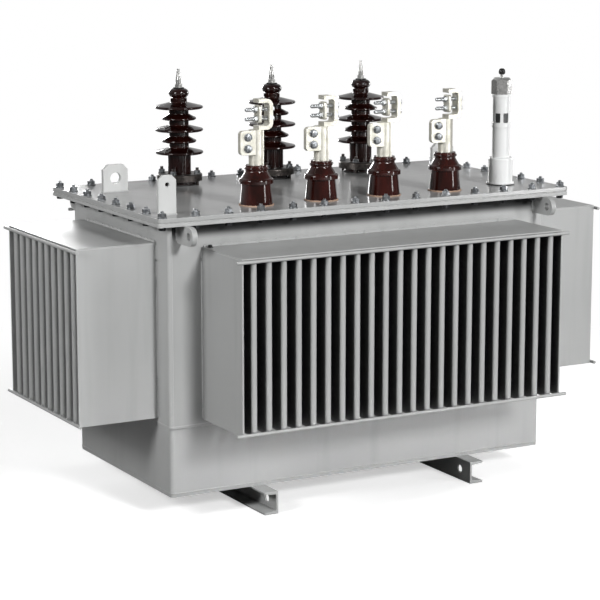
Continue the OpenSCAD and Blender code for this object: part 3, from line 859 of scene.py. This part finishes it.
@dataclass
class Tank:
    """Skids, pan, ledge and walls, with the welds that hold them."""

    seam: float = 2.2 * MM
    fillet: float = 4.0 * MM
    corner: float = 12 * MM
    lug_t: float = 16 * MM
    lug_foot: float = 6 * MM
    lug_head: float = 5 * MM
    plug_x: float = -538 * MM
    plug_out: float = 21 * MM
    plug: Profile = (
        (9 * MM, -2 * MM), (9 * MM, 1.5 * MM), (6.5 * MM, 2.5 * MM), (6.5 * MM, 6 * MM),
        (5 * MM, 8 * MM), (2 * MM, 8.6 * MM),
    )

    def dress(self) -> None:
        """Paints the tank's nodes."""
        dress(
            ENAMEL, "skid_left", "skid_right", "pan_floor", "pan_wall", "step_ledge", "left_wall",
            "right_wall", "tank_lugs",
        )
        dress(WALL_ENAMEL, "front_wall", "back_wall")

    def build_seams(self) -> None:
        """Lays the beads round the pan, under the ledge and along the skids."""
        low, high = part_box("pan_wall")
        beads = [
            weld(rounded_path(high.x, high.y, self.corner, z), self.seam, closed=True)
            for z in (low.z, high.z)
        ]
        end = high.y - self.corner
        for name in ("skid_left", "skid_right"):
            skid_low, skid_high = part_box(name)
            for x in (skid_low.x, skid_high.x):
                path = [Vector((x, y, skid_high.z)) for y in (-end, end)]
                beads.append(weld(path, self.fillet))
        mount(joined("pan_welds", beads), WELD_ENAMEL)

    def build_lug_welds(self) -> None:
        """Lays an upright bead on both faces of each lifting lug."""
        low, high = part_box("tank_lugs")
        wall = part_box("back_wall")[1].y
        levels = (low.z + self.lug_foot, high.z - self.lug_head)
        beads = [
            weld([Vector((sx * x, sy * wall, z)) for z in levels], self.fillet)
            for sx in (-1, 1) for sy in (-1, 1) for x in (high.x, high.x - self.lug_t)
        ]
        mount(joined("lug_welds", beads), WELD_ENAMEL)

    def build_plug(self) -> None:
        """Models the small black vent plug on the front cover, beside the left lug."""
        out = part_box("front_wall")[0].y - self.plug_out
        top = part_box("front_fins")[1].z + COVER_T
        plug = repeated("vent_plug", turned(self.plug), [at(self.plug_x, out, top)])
        mount(plug, PHENOLIC)

    def build(self) -> None:
        """Builds and dresses all of it."""
        self.dress()
        self.build_seams()
        self.build_lug_welds()
        self.build_plug()


@dataclass
class FinBanks:
    """The four banks of cooling fins with their end sheets, covers and tie rods."""

    bead: float = 6.5 * MM
    sway: float = 0.4
    bead_short: float = 6 * MM
    root: float = 3.2 * MM
    root_short: float = 4 * MM

    def dress(self) -> None:
        """Paints the banks, covers and rods."""
        dress(ENAMEL, "fin_covers", "tie_rods")
        dress(FIN_ENAMEL, "front_fins", "back_fins")
        dress(END_FIN_ENAMEL, "left_fins", "right_fins")

    def build_cover_welds(self) -> None:
        """Lays the bead where each cover meets its wall."""
        wall_x, wall_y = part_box("right_wall")[1].x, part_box("back_wall")[1].y
        long_bank, end_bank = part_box("back_fins")[1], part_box("right_fins")[1]
        long_end, short_end = long_bank.x - self.bead_short, end_bank.y - self.bead_short
        long_z, short_z = long_bank.z + COVER_T, end_bank.z + COVER_T
        beads = []
        for side in (-1, 1):
            for path in (
                [Vector((x, side * wall_y, long_z)) for x in (-long_end, long_end)],
                [Vector((side * wall_x, y, short_z)) for y in (-short_end, short_end)],
            ):
                beads.append(weld(path, self.bead, sway=self.sway))
        mount(joined("cover_welds", beads), WELD_ENAMEL)

    def build_root_welds(self) -> None:
        """Lays the upright bead at the root of each end sheet."""
        beads = []
        for name, along in (
            ("front_fins", 0), ("back_fins", 0), ("left_fins", 1), ("right_fins", 1),
        ):
            low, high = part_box(name)
            across = 1 - along
            rise = Vector((0, 0, high.z - low.z - 2 * self.root_short))
            for end in (low[along], high[along]):
                start = Vector((0, 0, low.z + self.root_short))
                start[along] = end
                start[across] = high[across] if low[across] < 0 else low[across]
                beads.append(weld([start, start + rise], self.root))
        mount(joined("fin_root_welds", beads), WELD_ENAMEL)

    def build(self) -> None:
        """Builds and dresses all of it."""
        self.dress()
        self.build_cover_welds()
        self.build_root_welds()


@dataclass
class Lid:
    """Rim, gasket, lid, its lugs and bracket, and the bolts all round."""

    inset: float = 20 * MM
    long_gaps: int = 13
    short_gaps: int = 7
    lug_half: float = 8 * MM
    lug_clear: float = 24 * MM
    nut_turn: float = 17.0
    head_turn: float = 23.0
    fillet: float = 4.0 * MM

    def dress(self) -> None:
        """Paints the lid's nodes and its gasket with them."""
        dress(LID_ENAMEL, "lid")
        dress(ENAMEL, "rim_flange")
        dress(LUG_ENAMEL, "lid_lug_left", "lid_lug_right", "corner_bracket")
        dress(OVERSPRAY, "lid_gasket")

    def stations(self) -> dict[str, list[tuple[float, float]]]:
        """Lists where the bolts stand on each side.

        Returns:
            Plan points by the side's name.
        """
        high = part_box("lid")[1]
        x, y = high.x - self.inset, high.y - self.inset
        along = [x * (2 * n / self.long_gaps - 1) for n in range(self.long_gaps + 1)]
        across = [y * (2 * n / self.short_gaps - 1) for n in range(1, self.short_gaps)]
        return {
            "front": [(p, -y) for p in along], "back": [(p, y) for p in along],
            "left": [(-x, p) for p in across], "right": [(x, p) for p in across],
        }

    def build_bolts(self) -> None:
        """Sets nuts on the lid and heads under the rim, side by side."""
        top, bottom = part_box("lid")[1].z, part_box("rim_flange")[0].z
        lug_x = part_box("tank_lugs")[1].x - self.lug_half
        for side, points in self.stations().items():
            # Each nut and head came to rest at its own angle, and no head stands on a tank lug.
            nuts = [at(x, y, top, self.nut_turn * n) for n, (x, y) in enumerate(points)]
            heads = [
                facing(x, y, bottom, DOWN, self.head_turn * n) for n, (x, y) in enumerate(points)
                if side in ("left", "right") or abs(abs(x) - lug_x) > self.lug_clear
            ]
            for name, fastener, places, finish in (
                ("lid_nuts", LID_NUT, nuts, DULL_ZINC),
                ("rim_bolt_heads", LID_HEAD, heads, BLACK_OXIDE),
            ):
                piece = repeated(f"{name}_{side}", fastener.model(), places)
                mount(piece, finish)

    def build_welds(self) -> None:
        """Lays a bead round the foot of each lid lug and of the bracket."""
        beads = []
        for name in ("lid_lug_left", "lid_lug_right", "corner_bracket"):
            low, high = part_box(name)
            beads.append(weld(box_path(low, high, low.z), self.fillet, closed=True))
        mount(joined("lid_welds", beads), WELD_ENAMEL)

    def build(self) -> None:
        """Builds and dresses all of it."""
        self.dress()
        self.build_bolts()
        self.build_welds()


@dataclass
class HighVoltageBushings:
    """Three ribbed bushings, each held by a clamp ring on four studs."""

    count: int = 3
    stud_circle: float = 60 * MM
    stud_turns: tuple[int, ...] = (45, 135, 225, 315)
    nut_twist: float = 1.3
    ring_top: float = 36 * MM
    base: float = 53 * MM
    seal_h: float = 4 * MM
    crush: Profile = (
        (9 * MM, -0.5 * MM), (17 * MM, -0.5 * MM), (18.5 * MM, 1.2 * MM), (17 * MM, 3 * MM),
        (9 * MM, 3 * MM), (9 * MM, -0.5 * MM),
    )

    def dress(self) -> None:
        """Glazes the insulators and plates their metal."""
        for number in range(1, self.count + 1):
            dress(DARK_PORCELAIN, f"hv_insulator_{number}")
            dress(BLACK_ZINC, f"hv_clamp_{number}")
            dress(GREY_TIN, f"hv_terminal_{number}")

    def axes(self) -> list[Vector]:
        """Gives the point where each bushing's axis meets the lid."""
        return [foot(f"hv_insulator_{number}") for number in range(1, self.count + 1)]

    def build_nuts(self) -> None:
        """Sets a nut on a washer on every clamp stud."""
        places = []
        for axis in self.axes():
            for turn in self.stud_turns:
                arm = Vector((math.cos(math.radians(turn)), math.sin(math.radians(turn)), 0))
                spot = axis + arm * self.stud_circle
                places.append(at(spot.x, spot.y, spot.z + self.ring_top, turn * self.nut_twist))
        mount(repeated("hv_clamp_nuts", CLAMP_NUT.model(), places), DULL_ZINC)

    def build_seals(self) -> None:
        """Models the seal under each insulator and the washer under its terminal."""
        ring = seal_ring(self.base, 3.5 * MM, 4.5 * MM, self.seal_h, 48)
        feet = [at(*axis) for axis in self.axes()]
        mount(repeated("hv_base_seals", ring, feet), RUBBER)
        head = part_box("hv_insulator_1")[1].z
        tops = [at(axis.x, axis.y, head) for axis in self.axes()]
        mount(repeated("hv_terminal_seals", turned(self.crush, 32, True), tops), RUBBER)

    def build(self) -> None:
        """Builds and dresses all of it."""
        self.dress()
        self.build_nuts()
        self.build_seals()


@dataclass
class LowVoltageBushings:
    """Four stout bushings with a cast connector each: a palm below and a cable strap above."""

    count: int = 4
    base: float = 50 * MM
    palm_reach: float = 38 * MM
    palm_holes: tuple[float, float] = (1092.5 * MM, 1126.5 * MM)
    palm_front: float = 20 * MM
    palm_back: float = 4 * MM
    palm_turns: tuple[float, float] = (12.0, 40.0)
    bolt_rise: tuple[float, float] = (258 * MM, 286 * MM)
    bolt_r: float = 6 * MM
    bolt_past: float = 36 * MM
    bolt_turn: float = 15.0
    strap_out: float = 48 * MM
    strap_nut: float = 46 * MM
    nut_across: float = 18 * MM
    nut_h: float = 10 * MM
    keeper_t: float = 9 * MM
    keeper_w: float = 34 * MM
    keeper_past: float = 26 * MM
    keeper_corner: float = 7 * MM
    channel_rim: float = 5 * MM
    channel_deep: float = 2 * MM
    seal_h: float = 3.5 * MM

    def dress(self) -> None:
        """Glazes the insulators and tins their connectors."""
        for number in range(1, self.count + 1):
            dress(PORCELAIN, f"lv_insulator_{number}")
            dress(TIN, f"lv_connector_{number}")

    def axes(self) -> list[Vector]:
        """Gives the point where each bushing's axis meets the lid."""
        return [foot(f"lv_insulator_{number}") for number in range(1, self.count + 1)]

    def build_palm_bolts(self) -> None:
        """Sets a bolt through each hole of the palms, its head to the front."""
        front, back = Vector((0, -1, 0)), Vector((0, 1, 0))
        head_turn, nut_turn = self.palm_turns
        fronts, backs = [], []
        for axis in self.axes():
            for z in self.palm_holes:
                x = axis.x - self.palm_reach
                fronts.append(facing(x, axis.y - self.palm_front, z, front, head_turn))
                backs.append(facing(x, axis.y - self.palm_back, z, back, nut_turn))
        heads = repeated("heads", PALM_HEAD.model(), fronts)
        nuts = repeated("nuts", PALM_NUT.model(), backs)
        mount(joined("lv_palm_bolts", [heads, nuts]), DULL_ZINC)

    def strap_bolt(self) -> Object:
        """Models a strap's bolt along +Z, from its head's seat down through the mouth.

        Returns:
            The bolt with its head, thread and nut.
        """
        shank = thread(self.bolt_r, 0, self.strap_out + self.bolt_past)
        nut = hexagon(self.nut_across, self.strap_nut, self.strap_nut + self.nut_h)
        bolt = joined("bolt", [shank, nut])
        # The head sits on the outside, so it is turned to look the other way.
        head = repeated("head", STRAP_HEAD.model(), [facing(0, 0, 0, DOWN)])
        return joined("strap_bolt", [bolt, head])

    def build_strap_bolts(self) -> None:
        """Sets two bolts through each strap, their ends standing out of the mouth."""
        way = Vector((-1, 0, 0))
        places = [
            facing(axis.x + self.strap_out, axis.y, axis.z + rise, way, self.bolt_turn)
            for axis in self.axes() for rise in self.bolt_rise
        ]
        mount(repeated("lv_strap_bolts", self.strap_bolt(), places), ZINC)

    def build_keepers(self) -> None:
        """Models the clamping bar that the two bolts pull into each strap."""
        low, high = self.bolt_rise
        bar = added(
            bpy.ops.mesh.primitive_cube_add, size=1, location=(0, 0, (low + high) / 2),
            scale=(self.keeper_t, self.keeper_w, high - low + self.keeper_past),
        )
        edit_edges(bar, lambda a, b: abs(a.x - b.x) > 1 * MM)
        bpy.ops.mesh.bevel(offset=self.keeper_corner, segments=5)
        # The clamping face has a shallow channel for the conductor.
        edit_faces(bar, lambda face: face.normal.x > 0.9)
        bpy.ops.mesh.inset(thickness=self.channel_rim)
        bpy.ops.transform.translate(value=(-self.channel_deep, 0, 0))
        apply_modifier(bar, "BEVEL", width=1.2 * MM, segments=2, limit_method="ANGLE")
        seat = self.strap_out - self.strap_nut + self.keeper_t / 2
        places = [at(axis.x + seat, axis.y, axis.z) for axis in self.axes()]
        mount(repeated("lv_strap_keepers", bar, places), TIN)

    def build_seals(self) -> None:
        """Models the cork seal that shows round each insulator's foot."""
        ring = seal_ring(self.base, 2.5 * MM, 3.5 * MM, self.seal_h, 48)
        feet = [at(*axis) for axis in self.axes()]
        mount(repeated("lv_base_seals", ring, feet), CORK)

    def build(self) -> None:
        """Builds and dresses all of it."""
        self.dress()
        self.build_palm_bolts()
        self.build_strap_bolts()
        self.build_keepers()
        self.build_seals()


@dataclass
class OilGauge:
    """The float gauge: a white tube with sight windows under a nickelled hexagon cap."""

    base: float = 44 * MM
    windows: int = 6
    window_w: float = 18 * MM
    window_h: float = 30 * MM
    window_low: float = 199 * MM
    window_gap: float = 1 * MM
    pane_face: float = 24 * MM
    pane_t: float = 4 * MM
    pane_corner: float = 2 * MM
    pane_rim: float = 2 * MM
    pane_deep: float = 1.4 * MM
    knob_h: float = 19 * MM
    flute_rim: float = 0.35 * MM
    flute_press: float = 0.94
    seal_h: float = 3.5 * MM

    def dress(self) -> None:
        """Paints the tube and plates the cap."""
        dress(GAUGE_ENAMEL, "gauge_foot", "gauge_tube")
        dress(NICKEL, "gauge_cap")

    def pane(self) -> Object:
        """Models a pane in its frame, looking along +Z.

        Returns:
            The pane.
        """
        pane = added(
            bpy.ops.mesh.primitive_cube_add, size=1, location=(0, 0, 0),
            scale=(self.window_w - self.window_gap, self.window_h - self.window_gap, self.pane_t),
        )
        edit_edges(pane, lambda a, b: abs(a.z - b.z) > 1 * MM)
        bpy.ops.mesh.bevel(offset=self.pane_corner, segments=4)
        edit_faces(pane, lambda face: face.normal.z > 0.9)
        bpy.ops.mesh.inset(thickness=self.pane_rim)
        bpy.ops.transform.translate(value=(0, 0, -self.pane_deep))
        bpy.ops.object.mode_set(mode="OBJECT")
        return pane

    def build_windows(self) -> None:
        """Sets a pane in each window."""
        axis = foot("gauge_foot")
        middle = axis.z + self.window_low + self.window_h / 2
        places = []
        for number in range(self.windows):
            angle = math.radians(360 * number / self.windows - 90)
            way = Vector((math.cos(angle), math.sin(angle), 0))
            spot = way * (self.pane_face - self.pane_t / 2)
            places.append(facing(axis.x + spot.x, axis.y + spot.y, middle, way))
        mount(repeated("gauge_windows", self.pane(), places), SIGHT_GLASS)

    def build_knob(self) -> None:
        """Models the fluted black knob over the cap's own one."""
        axis, top = foot("gauge_foot"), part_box("gauge_cap")[1].z
        low = top - self.knob_h
        knob = turned([
            (6 * MM, low), (9.2 * MM, low + 1.5 * MM), (10.4 * MM, low + 5 * MM),
            (10.4 * MM, low + 12 * MM), (9 * MM, top - 3 * MM), (6 * MM, top - 0.6 * MM),
            (2 * MM, top + 0.3 * MM),
        ], sides=24)
        # Every second upright face is pressed in as a flute.
        edit_faces(knob, lambda face: abs(face.normal.z) < 0.2 and face.index % 2 == 0)
        bpy.ops.mesh.inset(thickness=self.flute_rim, use_individual=True)
        bpy.ops.transform.resize(
            value=(self.flute_press, self.flute_press, 1.0), center_override=(0, 0, low)
        )
        bpy.ops.object.mode_set(mode="OBJECT")
        mount(repeated("gauge_knob", knob, [at(axis.x, axis.y, 0)]), PHENOLIC)

    def build_seal(self) -> None:
        """Models the seal that shows round the foot."""
        ring = seal_ring(self.base, 1.5 * MM, 2.2 * MM, self.seal_h, 40)
        mount(repeated("gauge_seal", ring, [at(*foot("gauge_foot"))]), RUBBER)

    def build(self) -> None:
        """Builds and dresses all of it."""
        self.dress()
        self.build_windows()
        self.build_knob()
        self.build_seal()


@dataclass(frozen=True)
class PaleFloor(Finish):
    """White studio floor that keeps the object's soft shadow and fades into the backdrop."""

    sheet: str = "#e8e8e8"
    bounce: str = "#2c2c2c"
    near: float = 1.3
    far: float = 2.6
    glow: float = 0.5

    def wire(self, tree: NodeTree) -> Node:
        """Adds the floor's nodes and returns its shader."""
        place = add_node(tree, "TexCoord").outputs["Object"]
        away = add_node(tree, "VectorMath", {0: place}, operation="LENGTH")
        fade = add_node(
            tree, "MapRange", {"Value": away, "From Min": self.near, "From Max": self.far},
            interpolation_type="SMOOTHSTEP",
        )
        ray, mirror = light_paths(tree)
        eye = ray.outputs["Is Camera Ray"]
        pale = add_node(tree, "Math", {0: mirror, 1: eye}, operation="MAXIMUM")
        # Little light bounces up off the floor, so that the hollows of the object stay deep.
        tone = add_node(
            tree, "Mix", {0: pale, 6: linear(self.bounce), 7: linear(self.sheet)}, data_type="RGBA"
        )
        paint = add_node(tree, "BsdfDiffuse", {"Color": tone})
        lift = add_node(tree, "Math", {0: eye, 1: self.glow}, operation="MULTIPLY")
        glow = add_node(tree, "Emission", {"Strength": lift})
        lit = add_node(tree, "AddShader", {0: paint, 1: glow})
        seen = add_node(tree, "Math", {0: eye, 1: fade}, operation="MULTIPLY")
        white = add_node(tree, "Emission", {"Strength": 1.0})
        return add_node(tree, "MixShader", {0: seen, 1: lit, 2: white})


@dataclass(frozen=True)
class Lamp:
    """A soft studio lamp."""

    name: str
    place: tuple[float, float, float]
    aim: tuple[float, float, float]
    size: tuple[float, float]
    watts: float
    spread: float = 180.0

    def build(self) -> None:
        """Hangs the lamp and points it."""
        data = bpy.data.lights.new(self.name, "AREA")
        data.shape = "RECTANGLE"
        data.size, data.size_y = self.size
        data.energy = self.watts
        data.spread = math.radians(self.spread)
        lamp = bpy.data.objects.new(self.name, data)
        bpy.context.scene.collection.objects.link(lamp)
        lamp.location = self.place
        way = Vector(self.aim) - Vector(self.place)
        lamp.rotation_euler = way.to_track_quat("-Z", "Y").to_euler()


@dataclass
class Studio:
    """Floor, lamps, surroundings and the camera at the photograph's angle."""

    camera_at: tuple[float, float, float] = (-3.383, -6.054, 1.868)
    camera_tilt: float = 79.27
    camera_turn: float = -28.93
    lens: float = 131.98
    sensor: float = 36.0
    reach: float = 100.0
    floor_size: float = 40.0
    ambient: float = 0.025
    mirrored: tuple[float, float] = (0.22, 0.62)
    lamps: tuple[Lamp, ...] = (
        Lamp("key", (1.0, -9.5, 4.7), (0.0, -0.3, 0.6), (1.6, 1.6), 790.0),
        Lamp("left", (-3.6, -1.1, 2.1), (-0.6, 0.0, 0.6), (1.0, 1.0), 75.0),
        Lamp("strip", (4.2, -5.6, 1.5), (0.0, -0.5, 0.8), (0.5, 3.0), 110.0),
        Lamp("back", (1.2, 8.5, 1.9), (0.0, 0.4, 0.6), (2.8, 2.2), 500.0),
        Lamp("right", (6.0, 1.2, 1.4), (0.6, 0.0, 0.6), (1.0, 1.2), 200.0),
        Lamp("low", (0.4, -3.2, 0.2), (0.0, -0.34, 0.17), (1.8, 0.2), 0.4, 12.0),
    )

    def build_floor(self) -> None:
        """Lays the floor under the skids."""
        floor = added(bpy.ops.mesh.primitive_plane_add, size=self.floor_size)
        floor.name = "floor"
        floor.data.materials.append(PaleFloor("white_studio_floor").material())

    def build_world(self) -> None:
        """Surrounds the scene with a white backdrop to the eye and a dim room in front."""
        world = bpy.data.worlds.new("studio")
        bpy.context.scene.world = world
        world.use_nodes = True
        tree = world.node_tree
        tree.nodes.clear()
        ray, mirror = light_paths(tree)
        way = add_node(tree, "TexCoord").outputs["Generated"]
        depth = add_node(tree, "SeparateXYZ", {0: way}).outputs["Y"]
        # The backdrop stands behind the object, on the +Y side; the room in front is dim.
        room, backdrop = self.mirrored
        back = add_node(
            tree, "MapRange",
            {"Value": depth, "From Min": -0.2, "From Max": 0.7, "To Min": room, "To Max": backdrop},
        )
        dim = add_node(tree, "Mix", {0: mirror, 2: self.ambient, 3: back}, data_type="FLOAT")
        strength = add_node(
            tree, "Mix", {0: ray.outputs["Is Camera Ray"], 2: dim, 3: 1.0}, data_type="FLOAT"
        )
        white = (1.0, 1.0, 1.0, 1.0)
        sky = add_node(tree, "Background", {"Color": white, "Strength": strength})
        add_node(tree, "OutputWorld", {"Surface": sky})

    def build_camera(self) -> None:
        """Sets the camera where the photograph was taken from."""
        data = bpy.data.cameras.new("photo_camera")
        data.lens, data.sensor_width = self.lens, self.sensor
        data.clip_end = self.reach
        camera = bpy.data.objects.new("photo_camera", data)
        bpy.context.scene.collection.objects.link(camera)
        camera.location = self.camera_at
        tilt, turn = math.radians(self.camera_tilt), math.radians(self.camera_turn)
        camera.rotation_euler = (tilt, 0.0, turn)
        bpy.context.scene.camera = camera

    def build(self) -> None:
        """Builds the whole studio."""
        bpy.context.scene.view_settings.view_transform = "Standard"
        self.build_floor()
        self.build_world()
        self.build_camera()
        for lamp in self.lamps:
            lamp.build()
        LOG.info("studio: floor, backdrop, camera and %d lamps", len(self.lamps))


def main() -> None:
    """Builds the studio and every sub-assembly in order."""
    logging.basicConfig(level=logging.INFO, format="%(name)s: %(message)s")
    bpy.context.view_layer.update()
    for assembly in (
        Studio(), Tank(), FinBanks(), Lid(), HighVoltageBushings(), LowVoltageBushings(),
        OilGauge(),
    ):
        assembly.build()


if __name__ == "__main__":
    main()
